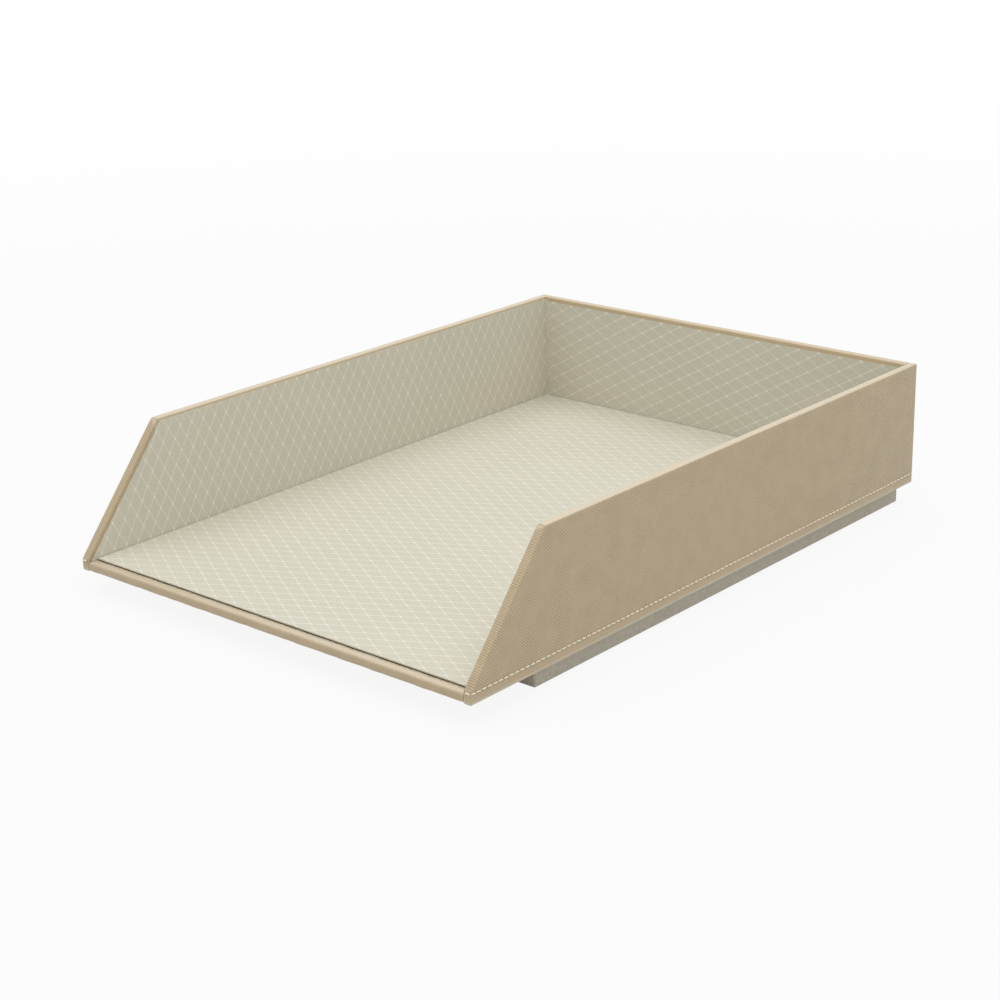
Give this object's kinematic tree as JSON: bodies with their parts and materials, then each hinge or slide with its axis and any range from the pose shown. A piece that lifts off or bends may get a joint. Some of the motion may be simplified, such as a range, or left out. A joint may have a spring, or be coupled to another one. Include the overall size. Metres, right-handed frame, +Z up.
{
  "type": "letter tray",
  "caption": "Open-front stacking letter tray for A4 sheets: covered wall panels with sloping fronts, a low front lip, a patterned lining and a set-back plinth.",
  "frame": {"origin": "on the desk, under the middle of the tray's outline", "axes": "+X across the tray to the right seen from the open front, +Y from the open front to the back wall, +Z up"},
  "size_m": [0.24, 0.336, 0.072],
  "materials": {
    "cover": "matt cross-hatched leatherette",
    "lining": "matt, printed lattice",
    "board": "raw fibre board",
    "card": "raw card",
    "panel_card": "dark raw card",
    "plinth_wrap": "matt grained paper",
    "base_sheet": "matt felt"
  },
  "bodies": {
    "root": {"floor_board": "board", "left_wall_board": "board", "right_wall_board": "board", "back_wall_board": "board", "floor_cover": "cover", "left_wall_cover": "cover", "right_wall_cover": "cover", "back_wall_cover": "cover", "left_infill_card": "card", "right_infill_card": "card", "back_infill_card": "card", "left_lining": "lining", "right_lining": "lining", "back_lining": "lining", "floor_panel_card": "panel_card", "floor_lining": "lining", "plinth_front_rail": "board", "plinth_right_rail": "board", "plinth_back_rail": "board", "plinth_left_rail": "board", "plinth_panel": "board", "plinth_wrap": "plinth_wrap", "plinth_base_sheet": "base_sheet"}
  },
  "joints": []
}
